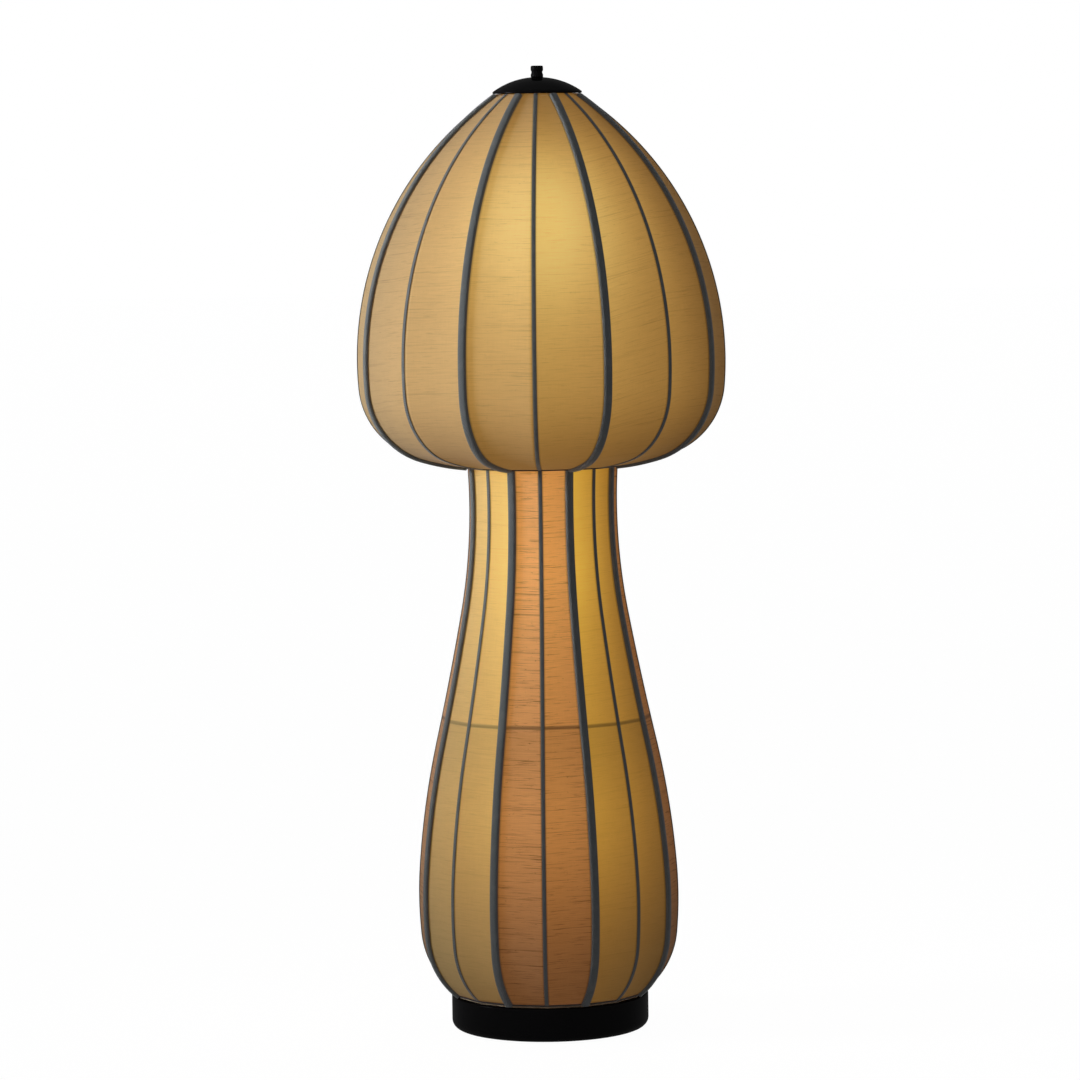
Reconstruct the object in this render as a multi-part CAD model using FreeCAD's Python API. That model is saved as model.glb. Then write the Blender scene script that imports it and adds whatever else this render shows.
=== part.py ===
import FreeCAD, Part
import math
import os
from FreeCAD import Vector

# A mushroom floor lamp: a weighted black base, a fabric stem and a lift-off fabric cap on a centre pole.
# Millimetres. +Z is up, the front is towards -Y, and the origin is the centre of the base on the floor.

# ---- base
base_r = 128.2
base_top = 46.0
base_roof = 2.5                # thickness of the base's top
base_rim = 15.0                # thickness of its cast wall
base_under_round = 11.5        # rounding between the wall and the underside
base_round_count = 3           # flats that the rounding is cut in
base_edge = 2.0                # bevel round the top
rim_lift = 1.5                 # floor to the underside of the base's rim
pad_side = 18.0                # rubber pads under the weight
pad_t = 2.0
pad_circle_r = 92.0
pad_count = 4
weight_t = 14.0
weight_sides = 32
gland_rise = 29.0              # rim to the middle of the cord inlet in the back
gland_bore_r = 3.5
gland_barrel_r = 6.0
gland_hex_r = 9.5               # corners of its six-sided flange
gland_hex_t = 3.0
gland_tail = 4.0               # barrel that stands inside the wall

# ---- centre pole
pole_r = 8.0
pole_wall = 1.5
plug_h = 15.0                  # how far the end fittings reach into the tube
foot_flange_r = 20.0
foot_flange_t = 4.0
foot_stud_r = 5.0
foot_stud_h = 14.0             # threaded end below the base's roof
wire_bore_r = 3.0              # way for the wires through the foot fitting
seat_flange_r = 11.5
seat_flange_t = 3.0
top_stud_r = 4.0
nut_flats = 17.0
nut_h = 6.0

# ---- fabric and ribs, common to stem and cap
panel_pairs = 4                # a caramel and a cream panel each, with a fine rib down every panel
fabric_t = 0.8
main_rib_w = 9.6
main_rib_crown_w = 4.6
main_rib_h = 4.0
fine_rib_w = 4.8
fine_rib_h = 2.0
outline_sag = 1.5              # how far a flat of an outline lies from its arc, at most

# ---- stem: its outline along a rib, from the base up, as tangent arcs through these radii,
#      with heights above the base
stem_foot_inset = 1.2          # base's edge to the fabric's foot
stem_foot_rise = 4.0
stem_heading = 39.5            # degrees above level
stem_knots = ((166.4, 78.5), (167.2, 167.0), (142.6, 331.0), (108.0, 499.0))
stem_top_r = 97.6
stem_in_cap = 10.0             # how far the stem reaches up through the cap's mouth
mid_ring_rise = 358.0

# ---- cap: the same, from its mouth round the neck, with heights above the mouth
cap_mouth_z = 736.0
neck_gap = 3.9                 # between the stem's main ribs and the cap's mouth
cap_heading = 6.0
cap_knots = ((166.0, 12.5), (236.3, 100.0), (214.0, 273.6))
cap_h = 478.0
dome_overhang = 4.0            # dome's edge beyond the fabric's top
hub_drop = 5.0                 # fabric's top edge to the top of the ring and hub
hub_side = 26.0
arm_count = 4
spider_arm_w = 8.0
spider_arm_t = 2.5
ring_w = 3.5                   # width and height of the bar that the rings are bent from
ring_h = 5.0

# ---- dome and finial
dome_r = 57.5
dome_rise = 0.6                # fabric's top edge to the dome's rim
dome_rim_h = 2.2
dome_ball_r = 98.0             # radius of the spun curve
dome_curve_count = 3           # flats that the curve is drawn in, and sides round it
dome_sides = 40
dome_wall = 1.5
dome_pad_r = 9.5               # flat on top, under the finial
finial_h = 15.0
finial_r = 8.0
finial_waist_r = 7.1
finial_foot_h = 4.2
finial_step_h = 1.6            # height of each slope between waist and full width
finial_drum_low = 9.0          # where the upper drum starts
finial_side_count = 18         # flats round the knob
stud_in_finial = 9.5
finial_bore_spare = 1.0        # bore beyond the stud's end

# ---- lamps on the pole, three alike: height of each globe's centre
low_globe_z = 270.0
mid_globe_z = 600.0
top_globe_z = 1020.0
lamp_turn = 8.0                # degrees that the arms point to the right of the front
lamp_reach = 46.0              # pole axis to lamp axis
arm_w = 14.0
arm_t = 3.0
clamp_side = 26.0
clamp_h = 14.0
holder_r = 19.0
holder_h = 45.0
holder_floor = 20.0            # thick end that holds the contacts
holder_bore_r = 14.0
screw_cap_r = 13.3
screw_cap_h = 24.0
globe_r = 30.0
globe_rise = 76.0              # lamp's foot to the globe's centre
globe_sides = 16
globe_curve_count = 5          # flats from the neck to the crown
globe_neck_turn = -25.0        # where these start and end, in degrees above the globe's middle
globe_crown_turn = 78.0

# ---- clearances
seat_gap = 0.25                # between fabric, ribs and what holds them
slip_gap = 0.05                # a fitting in the tube, or a clamp on it
turn_gap = 0.08                # the finial round its stud
pass_gap = 0.3                 # a hole that slides over the stud
weight_gap = 0.2               # the weight in the base's mouth

panel_count = 2 * panel_pairs
rib_count = 2 * panel_count    # every second one is a main rib
RIB_STEP = 360.0 / rib_count
Z_AXIS = Vector(0, 0, 1)
ORIGIN = Vector(0, 0, 0)
os.makedirs("parts", exist_ok=True)


def save(name, *solids):
    """Write one node, from one solid or a group of them."""
    shape = solids[0] if len(solids) == 1 else Part.makeCompound(solids)
    shape.exportStep("parts/" + name + ".step")
    print(name, len(solids), "solid(s)", "valid" if shape.isValid() else "NOT VALID")


def around(radius, angle, z):
    """A point at an angle from the front, in degrees towards +X."""
    turn = math.radians(angle)
    return Vector(radius * math.sin(turn), -radius * math.cos(turn), z)


def ring_of_points(radius, z, sides):
    return [around(radius, 360 / sides * i, z) for i in range(sides)]


def loop(points):
    return Part.makePolygon(points + points[:1])


def pattern(solid, angles):
    """Copies of a solid turned about the lamp's axis."""
    copies = []
    for angle in angles:
        copy = solid.copy()
        copy.rotate(ORIGIN, Z_AXIS, angle)
        copies.append(copy)
    return copies


def upright(radius, low, high, bore=0):
    """A cylinder on the pole's axis, with a bore if it has one."""
    body = Part.makeCylinder(radius, high - low, Vector(0, 0, low))
    return body.cut(Part.makeCylinder(bore, high - low, Vector(0, 0, low))) if bore else body


def hexagon(corner_r, low, height):
    return Part.Face(loop(ring_of_points(corner_r, low, 6))).extrude(Vector(0, 0, height))


def turned(points):
    """Revolve a closed outline of (radius, height) points about Z."""
    return Part.Face(loop([Vector(r, 0, z) for r, z in points])).revolve(ORIGIN, Z_AXIS, 360)


def arc_flats(centre, radius, first, last, flats):
    """Points along an arc in the outline's plane, with angles in degrees from level, outwards."""
    turns = [math.radians(first + (last - first) * i / flats) for i in range(flats + 1)]
    return [(centre[0] + radius * math.cos(t), centre[1] + radius * math.sin(t)) for t in turns]


def skin(sections):
    """A solid with flat faces between closed sections of equal length, and a flat face at each end."""
    faces = [Part.Face(loop(sections[0])), Part.Face(loop(sections[-1]))]
    for near, far in zip(sections, sections[1:]):
        for i in range(len(near)):
            j = (i + 1) % len(near)
            faces.append(Part.Face(loop([near[i], near[j], far[j], far[i]])))
    solid = Part.makeSolid(Part.makeShell(faces))
    solid.fix(1e-4, 1e-4, 1e-4)
    if solid.Volume < 0:
        solid.reverse()
    return solid


def outline(start, heading, knots):
    """Bends along tangent arcs: (radius, height, heading) at the start and after each flat."""
    r, z = start
    course = math.radians(heading)
    bends = [(r, z, course)]
    for knot_r, knot_z in knots:
        chord = math.hypot(knot_r - r, knot_z - z)
        half_turn = math.atan2(knot_z - z, knot_r - r) - course
        arc_r = chord / (2 * math.sin(half_turn))
        centre_r, centre_z = r - arc_r * math.sin(course), z + arc_r * math.cos(course)
        flats = math.ceil(abs(half_turn) / math.acos(1 - outline_sag / abs(arc_r)))
        for i in range(1, flats + 1):
            turn = course + 2 * half_turn * i / flats
            bends.append((centre_r + arc_r * math.sin(turn), centre_z - arc_r * math.cos(turn), turn))
        r, z, course = bends[-1]
    return bends


def offset(bend, out):
    """The point a given distance outside the fabric's ridge at a bend."""
    r, z, course = bend
    return r + out * math.sin(course), z - out * math.cos(course)


def rail_radius(bends, out, z):
    """Radius of the offset outline where it last crosses a height, or at its end below that."""
    rail = [offset(b, out) for b in bends]
    for (r0, z0), (r1, z1) in reversed(list(zip(rail, rail[1:]))):
        if z0 <= z <= z1:
            return r0 + (r1 - r0) * (z - z0) / (z1 - z0)
    return rail[0][0]


def rail_height(bends, out, radius):
    """Height of the offset outline where it first crosses a radius."""
    rail = [offset(b, out) for b in bends]
    for (r0, z0), (r1, z1) in zip(rail, rail[1:]):
        if r0 <= radius <= r1:
            return z0 + (z1 - z0) * (radius - r0) / (r1 - r0)
    return rail[0][1]


# ---- outlines of the stem and the cap along a rib

stem_top_z = cap_mouth_z + stem_in_cap
stem_foot_r = base_r - stem_foot_inset
stem = outline((stem_foot_r, base_top + stem_foot_rise), stem_heading,
               [(r, base_top + rise) for r, rise in stem_knots] + [(stem_top_r, stem_top_z)])
cap_mouth_r = stem_top_r + main_rib_h + neck_gap
cap = outline((cap_mouth_r, cap_mouth_z), cap_heading,
              [(r, cap_mouth_z + rise) for r, rise in cap_knots + ((dome_r - dome_overhang, cap_h),)])
cap_top_z = cap[-1][1]
inside = -(fabric_t + seat_gap)
print("flats in the stem's and the cap's outline:", len(stem) - 1, len(cap) - 1)


# ---- fabric panels, one between each pair of main ribs, creased along its fine rib

def panel(bends, middle):
    outer = [offset(b, 0) for b in bends]
    inner = [offset(b, -fabric_t) for b in reversed(bends)]
    sections = []
    for angle in (middle - RIB_STEP, middle, middle + RIB_STEP):
        sections.append([around(r, angle, z) for r, z in outer + inner])
    return skin(sections)


middles = [360 / panel_count * i for i in range(panel_count)]
save("stem_panels_caramel", *[panel(stem, angle) for angle in middles[0::2]])
save("stem_panels_cream", *[panel(stem, angle) for angle in middles[1::2]])
save("cap_panels", *[panel(cap, angle) for angle in middles])


# ---- ribs: wire in a sewn casing, along the ridges of the fabric

main_section = ((-main_rib_w / 2, seat_gap), (main_rib_w / 2, seat_gap),
                (main_rib_crown_w / 2, main_rib_h), (-main_rib_crown_w / 2, main_rib_h))
fine_section = ((-fine_rib_w / 2, seat_gap), (fine_rib_w / 2, seat_gap), (0, fine_rib_h))
main_angles = [angle + RIB_STEP for angle in middles]


def level_end(end, before, level):
    """The last section of a rib, drawn on along the last flat until it lies level."""
    return [b + (a - b) * ((level - b.z) / (a.z - b.z)) for a, b in zip(end, before)]


def rib(bends, section, low_z=None, high_z=None):
    """Flats through the section at each bend, with an end lying level where a height is given."""
    sections = []
    for bend in bends:
        rail = [(side, offset(bend, out)) for side, out in section]
        sections.append([Vector(side, -r, z) for side, (r, z) in rail])
    if low_z is not None:
        sections[0] = level_end(sections[0], sections[1], low_z)
    if high_z is not None:
        sections[-1] = level_end(sections[-1], sections[-2], high_z)
    return skin(sections)


stem_rib_z = base_top + seat_gap
dome_rim_z = cap_top_z + dome_rise
cap_rib_z = dome_rim_z - seat_gap
save("stem_main_ribs", *pattern(rib(stem, main_section, low_z=stem_rib_z), main_angles))
save("stem_fine_ribs", *pattern(rib(stem, fine_section, low_z=stem_rib_z), middles))
save("cap_main_ribs", *pattern(rib(cap, main_section, high_z=cap_rib_z), main_angles))
save("cap_fine_ribs", *pattern(rib(cap, fine_section, high_z=cap_rib_z), middles))


# ---- rings of flat bar, bent with a corner behind each rib

def ring(corner_r, low):
    """A many-sided hoop whose outer corners are at corner_r."""
    outer = Part.Face(loop(ring_of_points(corner_r, low, rib_count)))
    inner = Part.Face(loop(ring_of_points(corner_r - ring_w, low, rib_count)))
    return outer.cut(inner).extrude(Vector(0, 0, ring_h))


def ring_and_spider(corner_r, hole_r, low):
    """The same with arms welded to a square hub, which has a hole for the pole or its stud."""
    shape = ring(corner_r, low)
    half = hub_side / 2
    hub = Part.makeBox(hub_side, hub_side, ring_h, Vector(-half, -half, low))
    arm = Part.makeBox(spider_arm_w, corner_r - ring_w / 2, spider_arm_t, Vector(-spider_arm_w / 2, 0, low))
    arms = pattern(arm, [360 / arm_count * i for i in range(arm_count)])
    shape = shape.multiFuse([hub] + arms).removeSplitter()
    return shape.cut(Part.makeCylinder(hole_r, ring_h, Vector(0, 0, low)))


stem_ring_z = stem_top_z - ring_h
stem_ring_r = min(rail_radius(stem, inside, stem_ring_z), offset(stem[-1], inside)[0])
save("stem_top_ring", ring_and_spider(stem_ring_r, pole_r + pass_gap, stem_ring_z))
mid_ring_z = base_top + mid_ring_rise
save("stem_mid_ring", ring(rail_radius(stem, inside, mid_ring_z), mid_ring_z - ring_h))
foot_run = [offset(b, 0) for b in stem[:2]]
foot_slope = (foot_run[1][0] - foot_run[0][0]) / (foot_run[1][1] - foot_run[0][1])
rib_end_r = offset(stem[0], seat_gap)[0] - (offset(stem[0], seat_gap)[1] - base_top) * foot_slope
save("stem_bottom_ring", ring(rib_end_r - seat_gap, base_top))

hub_top = cap_top_z - hub_drop
seat_z = hub_top - ring_h
save("cap_top_ring", ring_and_spider(rail_radius(cap, inside, hub_top), top_stud_r + pass_gap, seat_z))
mouth_ring_r = cap_mouth_r + ring_w
save("cap_mouth_ring", ring(mouth_ring_r, rail_height(cap, inside, mouth_ring_r)))


# ---- dome: a spun black cover over the cap's top ring, with a flat pad for the finial

rim_top = dome_rim_z + dome_rim_h
ball = (0, rim_top - math.sqrt(dome_ball_r ** 2 - dome_r ** 2))
pad_turn = math.degrees(math.acos(dome_pad_r / dome_ball_r))
rim_turn = math.degrees(math.acos(dome_r / dome_ball_r))
dome_curve = arc_flats(ball, dome_ball_r, rim_turn, pad_turn, dome_curve_count)
dome_top = dome_curve[-1][1]
under_rim = dome_r - dome_wall
under_pad = dome_top - dome_wall
under_curve = [(under_rim, dome_rim_z), (under_rim, dome_rim_z + dome_rim_h / 2), (dome_pad_r, under_pad)]


def dome_skin(profile):
    return skin([ring_of_points(r, z, dome_sides) for r, z in profile])


dome = dome_skin([(dome_r, dome_rim_z)] + dome_curve).cut(dome_skin(under_curve))
stud_hole = upright(top_stud_r + pass_gap, under_pad, dome_top)
save("cap_dome", dome.cut(stud_hole))


# ---- finial: a waisted knob with flats to grip, screwed on the stud

knob_shape = ((finial_r, 0), (finial_r, finial_foot_h), (finial_waist_r, finial_foot_h + finial_step_h),
              (finial_waist_r, finial_drum_low - finial_step_h), (finial_r, finial_drum_low),
              (finial_r, finial_h - finial_step_h), (finial_waist_r, finial_h))
knob = skin([ring_of_points(r, dome_top + rise, finial_side_count) for r, rise in knob_shape])
finial_bore = stud_in_finial + finial_bore_spare
save("finial", knob.cut(upright(top_stud_r + turn_gap, dome_top, dome_top + finial_bore)))


# ---- base: a hollow black casting, its weight and pads, and the cord's inlet

mouth_r = base_r - base_rim
roof_low = base_top - base_roof
under_centre = (base_r - base_under_round, rim_lift + base_under_round)
stud_hole_r = foot_stud_r + pass_gap
shell = turned(
    [(mouth_r, rim_lift)]
    + arc_flats(under_centre, base_under_round, -90, 0, base_round_count)
    + [(base_r, base_top - base_edge), (base_r - base_edge, base_top), (stud_hole_r, base_top)]
    + [(stud_hole_r, roof_low), (mouth_r, roof_low)])
gland_z = rim_lift + gland_rise
gland_end = mouth_r - gland_tail
hole_length = base_r - gland_end
gland_start = Vector(0, gland_end, gland_z)
gland_hole = Part.makeCylinder(gland_barrel_r + slip_gap, hole_length, gland_start, Vector(0, 1, 0))
save("base_housing", shell.cut(gland_hole))

weight_outline = loop(ring_of_points(mouth_r - weight_gap, pad_t, weight_sides))
save("base_weight", Part.Face(weight_outline).extrude(Vector(0, 0, weight_t)))
pad = Part.makeBox(pad_side, pad_side, pad_t, Vector(-pad_side / 2, -pad_circle_r - pad_side / 2, 0))
save("rubber_pads", *pattern(pad, [360 / pad_count * (i + 0.5) for i in range(pad_count)]))


def gland():
    """A bush with a six-sided flange in the back wall, for the supply cord."""
    body = Part.makeCylinder(gland_barrel_r, hole_length)
    flange = hexagon(gland_hex_r, hole_length, gland_hex_t)
    body = body.fuse(flange).cut(Part.makeCylinder(gland_bore_r, hole_length + gland_hex_t))
    body.rotate(ORIGIN, Vector(1, 0, 0), -90)
    body.translate(gland_start)
    return body


save("cord_gland", gland())


# ---- pole: one tube with a turned fitting in each end, and the nut that holds it to the base

tube_low = base_top + foot_flange_t
tube_high = seat_z - seat_flange_t
save("pole_tube", upright(pole_r, tube_low, tube_high, bore=pole_r - pole_wall))

plug_r = pole_r - pole_wall - slip_gap
stud_low = roof_low - foot_stud_h
foot_fitting = turned([
    (wire_bore_r, stud_low), (foot_stud_r, stud_low), (foot_stud_r, base_top), (foot_flange_r, base_top),
    (foot_flange_r, tube_low), (plug_r, tube_low), (plug_r, tube_low + plug_h),
    (wire_bore_r, tube_low + plug_h)])
stud_top = dome_top + stud_in_finial
top_fitting = turned([
    (0, tube_high - plug_h), (plug_r, tube_high - plug_h), (plug_r, tube_high), (seat_flange_r, tube_high),
    (seat_flange_r, seat_z), (top_stud_r, seat_z), (top_stud_r, stud_top), (0, stud_top)])
nut_r = nut_flats / 2 / math.cos(math.radians(30))
nut_low = roof_low - nut_h
nut = hexagon(nut_r, nut_low, nut_h).cut(upright(foot_stud_r + slip_gap, nut_low, roof_low))
save("pole_fittings", foot_fitting, top_fitting, nut)


# ---- lamps: an arm clamped to the pole, a holder on it and a globe lamp screwed into the holder

def lamp_arm(top):
    half = clamp_side / 2
    clamp = Part.makeBox(clamp_side, clamp_side, clamp_h, Vector(-half, -half, top - arm_t))
    length = lamp_reach + arm_w
    bar = Part.makeBox(arm_w, length, arm_t, Vector(-arm_w / 2, -length, top - arm_t))
    pole_hole = Part.makeCylinder(pole_r + slip_gap, clamp_h, Vector(0, 0, top - arm_t))
    return clamp.fuse(bar).cut(pole_hole).removeSplitter()


def lamp_holder(low):
    body = Part.makeCylinder(holder_r, holder_h, Vector(0, -lamp_reach, low))
    depth = holder_h - holder_floor
    return body.cut(Part.makeCylinder(holder_bore_r, depth, Vector(0, -lamp_reach, low + holder_floor)))


def globe_lamp(low):
    crown = arc_flats((0, low + globe_rise), globe_r, globe_neck_turn, globe_crown_turn, globe_curve_count)
    shape = [(screw_cap_r, low), (screw_cap_r, low + screw_cap_h)] + crown
    body = skin([ring_of_points(r, z, globe_sides) for r, z in shape])
    body.translate(Vector(0, -lamp_reach, 0))
    return body


arm_tops = [z - globe_rise - holder_floor for z in (low_globe_z, mid_globe_z, top_globe_z)]
save("lamp_arms", *[pattern(lamp_arm(z), [lamp_turn])[0] for z in arm_tops])
save("lamp_holders", *[pattern(lamp_holder(z), [lamp_turn])[0] for z in arm_tops])
save("globe_lamps", *[pattern(globe_lamp(z + holder_floor), [lamp_turn])[0] for z in arm_tops])
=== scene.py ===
# %% [markdown]
# # A mushroom floor lamp, dressed for its photograph
# The lamp stands on a black cast base. A waisted fabric stem and a domed fabric cap hang on a centre pole, with
# wire ribs in sewn tape between the panels, and three globe lamps light them from inside.
# The CAD model gives the frame: where each piece sits and what it moves with. This script builds what a camera
# sees: cloth that hollows between its ribs, round tapes, spun metal, glass and the glow.

# %% Load the frame
import math

import bpy
import numpy as np
from mathutils import Matrix, Vector


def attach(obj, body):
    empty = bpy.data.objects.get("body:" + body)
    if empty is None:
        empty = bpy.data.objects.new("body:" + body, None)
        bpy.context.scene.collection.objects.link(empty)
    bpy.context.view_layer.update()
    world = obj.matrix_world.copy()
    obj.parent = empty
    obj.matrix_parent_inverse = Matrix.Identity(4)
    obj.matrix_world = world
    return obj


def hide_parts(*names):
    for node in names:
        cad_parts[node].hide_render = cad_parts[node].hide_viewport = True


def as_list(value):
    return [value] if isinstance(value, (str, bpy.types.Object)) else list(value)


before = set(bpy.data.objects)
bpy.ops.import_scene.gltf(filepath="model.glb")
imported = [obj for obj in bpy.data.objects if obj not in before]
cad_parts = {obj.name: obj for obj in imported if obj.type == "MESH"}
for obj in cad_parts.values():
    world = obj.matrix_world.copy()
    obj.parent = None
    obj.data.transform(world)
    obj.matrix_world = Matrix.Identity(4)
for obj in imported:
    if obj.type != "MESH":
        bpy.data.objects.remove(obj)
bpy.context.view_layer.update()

# %% [markdown]
# ## The outlines
# Stem and cap each have one outline, which every rib is bent to. It could be drawn as a curve by hand. Here it is
# worked out from the few numbers that the CAD model is made from, so cloth, ribs and rings meet all the way up.
# An outline is a chain of arcs that run into one another without a corner. It is given by where it starts, its
# first heading in degrees, and the radius and height that every arc ends at. All sizes here are in metres.

# %% The outlines
STEM_START, STEM_HEADING = (0.127, 0.050), 39.5
STEM_KNOTS = ((0.1664, 0.1245), (0.1672, 0.213), (0.1426, 0.377), (0.108, 0.545), (0.0976, 0.746))
CAP_START, CAP_HEADING = (0.1055, 0.736), 6.0
CAP_KNOTS = ((0.166, 0.7485), (0.2363, 0.836), (0.214, 1.0096), (0.0535, 1.214))
OUTLINE_STEP = 0.007


def outline(start, heading, knots):
    """Points (radius, height, course) along tangent arcs, about one step apart."""
    (r, z), course = start, math.radians(heading)
    points = [(r, z, course)]
    for knot_r, knot_z in knots:
        chord = math.hypot(knot_r - r, knot_z - z)
        half_turn = math.atan2(knot_z - z, knot_r - r) - course
        arc_r = chord / (2 * math.sin(half_turn))
        centre_r, centre_z = r - arc_r * math.sin(course), z + arc_r * math.cos(course)
        count = math.ceil(abs(2 * half_turn * arc_r) / OUTLINE_STEP)
        for i in range(1, count + 1):
            turn = course + 2 * half_turn * i / count
            points.append((centre_r + arc_r * math.sin(turn), centre_z - arc_r * math.cos(turn), turn))
        r, z, course = points[-1]
    return points


stem_line = outline(STEM_START, STEM_HEADING, STEM_KNOTS)
cap_line = outline(CAP_START, CAP_HEADING, CAP_KNOTS)
print("points in the stem's and the cap's outline:", len(stem_line), len(cap_line))

# %% [markdown]
# ## Shader helpers
# A finish is worked out as a sum: a thread's darkness times a mask, plus a stain. Wrapping a node's output in a
# small class lets Python's own +, - and * add the Math nodes, so a finish reads as the sum that it is.


# %% A wire that can be added and multiplied
class Wire:
    """One output of a node; arithmetic on it adds Math nodes."""

    def __init__(self, tree, socket):
        self.tree, self.socket = tree, socket

    def maths(self, operation, a, b=0.0):
        return self.tree.node("ShaderNodeMath", {"operation": operation}, {0: a, 1: b})

    def __add__(self, other): return self.maths("ADD", self, other)
    def __radd__(self, other): return self.maths("ADD", other, self)
    def __sub__(self, other): return self.maths("SUBTRACT", self, other)
    def __rsub__(self, other): return self.maths("SUBTRACT", other, self)
    def __mul__(self, other): return self.maths("MULTIPLY", self, other)
    def __rmul__(self, other): return self.maths("MULTIPLY", other, self)
    def __abs__(self): return self.maths("ABSOLUTE", self)

    def ramp(self, low, high):
        """0 below low and 1 above high, rising softly between them; turned round where high is the lower."""
        return self.tree.node("ShaderNodeMapRange", {"interpolation_type": "SMOOTHSTEP", "clamp": True},
                              {"Value": self, "From Min": low, "From Max": high})


# %% A node tree, and a finish that is one
class Tree:
    """A node tree, and one way to add any node to it."""

    def __init__(self, tree):
        self.nodes, self.links = tree.nodes, tree.links

    def node(self, kind, settings, inputs, output=0):
        made = self.nodes.new(kind)
        for key, value in settings.items():
            setattr(made, key, value)
        self.fill(made, inputs)
        return Wire(self, made.outputs[output])

    def fill(self, made, inputs):
        for key, value in inputs.items():
            if isinstance(value, Wire):
                self.links.new(value.socket, made.inputs[key])
            else:
                made.inputs[key].default_value = value


class Finish(Tree):
    """A material that is built up node by node and ends in one Principled shader."""

    def __init__(self, name):
        self.material = bpy.data.materials.new(name)
        self.material.use_nodes = True
        super().__init__(self.material.node_tree)
        self.shader = self.nodes["Principled BSDF"]
        self.place = self.node("ShaderNodeTexCoord", {}, {}, "Object")

    def attribute(self, name, output="Fac"):
        return self.node("ShaderNodeAttribute", {"attribute_name": name}, {}, output)

    def stretched(self, vector, scale):
        """The same place with each axis multiplied, so that noise on it is drawn out."""
        return self.node("ShaderNodeMapping", {}, {"Vector": vector, "Scale": scale})

    def noise(self, vector, scale, detail, roughness=0.5):
        return self.node("ShaderNodeTexNoise", {}, {"Vector": vector, "Scale": scale, "Detail": detail,
                                                   "Roughness": roughness})

    def mix(self, factor, a, b, blend="MIX"):
        """Two colours through a Mix node, whose colour sockets have the numbers 6 and 7 and come out at 2."""
        return self.node("ShaderNodeMix", {"data_type": "RGBA", "blend_type": blend},
                         {0: factor, 6: a, 7: b}, 2)

    def bump(self, height, strength, distance):
        return self.node("ShaderNodeBump", {}, {"Height": height, "Strength": strength, "Distance": distance})

    def done(self, **inputs):
        self.fill(self.shader, {key.replace("_", " "): value for key, value in inputs.items()})
        return self.material


# %% [markdown]
# ## The linen
# The shade cloth is a plain-woven linen whose weft has slubs, short thick places in the thread. Against the
# lamps inside they show as fine dark dashes that run round the lamp. A photograph of linen could be wrapped on,
# but it would repeat. Noise that is drawn out along the weft doesn't, and on a map of the cloth that is in metres
# the slubs keep their size where the panel narrows.
# Light through cloth isn't a reflection, so it goes into the emission. It is yellow where the lamps are near
# and turns brown further off, and the ring inside the stem and the tapes leave their shadow on it.

# %% The linen
MID_RING_Z = 0.4035
RING_SHADOW_Z = MID_RING_Z + 0.0055         # the lamp below throws it a little upwards
WEFT, WARP = (40.0, 900.0, 5.0), (1400.0, 50.0, 5.0)          # threads, as noise drawn out one way or the other
PICKS, DASHES, KNOTS = (4.0, 420.0, 5.0), (26.0, 640.0, 9.0), (230.0, 420.0, 9.0)      # slubs: long, short, dots
TAPE_SHADOW, TAPE_SHADOW_W = 0.45, 0.0022
RING_LINE, RING_CORE, RING_SOFT = 0.0034, 0.0008, 0.110       # the line's edge and core, and the dark below it


def linen(name, own, deep, pale, slubs, ring_shadow=0.0):
    """Cloth by its own colour, the hue of weak and of strong light through it, and how dark its slubs are."""
    f = Finish(name)
    cloth_map, glow, edge = f.attribute("weave", "Vector"), f.attribute("glow"), f.attribute("edge")
    weft = f.noise(f.stretched(cloth_map, WEFT), 1.0, 2.0, 0.6)
    warp = f.noise(f.stretched(cloth_map, WARP), 1.0, 1.0)
    picks = f.noise(f.stretched(cloth_map, PICKS), 1.0, 3.0, 0.75)
    dashes = f.noise(f.stretched(cloth_map, DASHES), 1.0, 3.0, 0.65)
    knots = f.noise(f.stretched(cloth_map, KNOTS), 1.0, 2.0)
    drift = f.noise(f.stretched(cloth_map, (6.0, 4.0, 3.0)), 1.0, 2.0)

    lines = picks.ramp(0.575, 0.635) * 0.9 + dashes.ramp(0.585, 0.655) * 0.9 + knots.ramp(0.69, 0.76) * 0.8
    threads = (weft - 0.5) * (0.14 + slubs * 0.6) + (warp - 0.5) * 0.08 + (picks - 0.5) * (slubs * 0.3)
    tone = 1.0 + slubs * 0.12 + threads + (drift - 0.5) * 0.14 - lines * slubs
    shade = 1.0 - edge.ramp(TAPE_SHADOW_W, 0.0) * TAPE_SHADOW
    if ring_shadow:
        rise = f.node("ShaderNodeSeparateXYZ", {}, {0: f.place}, 2) - RING_SHADOW_Z
        line = abs(rise).ramp(RING_LINE, RING_CORE)
        below = rise.ramp(0.001, -0.002) * rise.ramp(-RING_SOFT, -0.002)
        shade = shade * (1.0 - line * ring_shadow - below * (ring_shadow * 0.26))
    through = tone * shade * glow

    def grey(value):
        return f.node("ShaderNodeCombineColor", {}, {0: value, 1: value, 2: value})

    relief = threads + (lines * 0.4)
    # Painted shadow: the tapes' and the ring's shadows darken the base colour too, at six tenths of their strength.
    return f.done(Base_Color=f.mix(1.0, own, grey(tone * (shade * 0.6 + 0.4)), "MULTIPLY"),
                  Emission_Color=f.mix(1.0, f.mix(glow, deep, pale), grey(through), "MULTIPLY"),
                  Emission_Strength=1.0, Roughness=0.86 + threads * 0.3, Normal=f.bump(relief, 0.4, 0.0004),
                  Sheen_Weight=0.10, Sheen_Roughness=0.5, Specular_IOR_Level=0.1)


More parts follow.
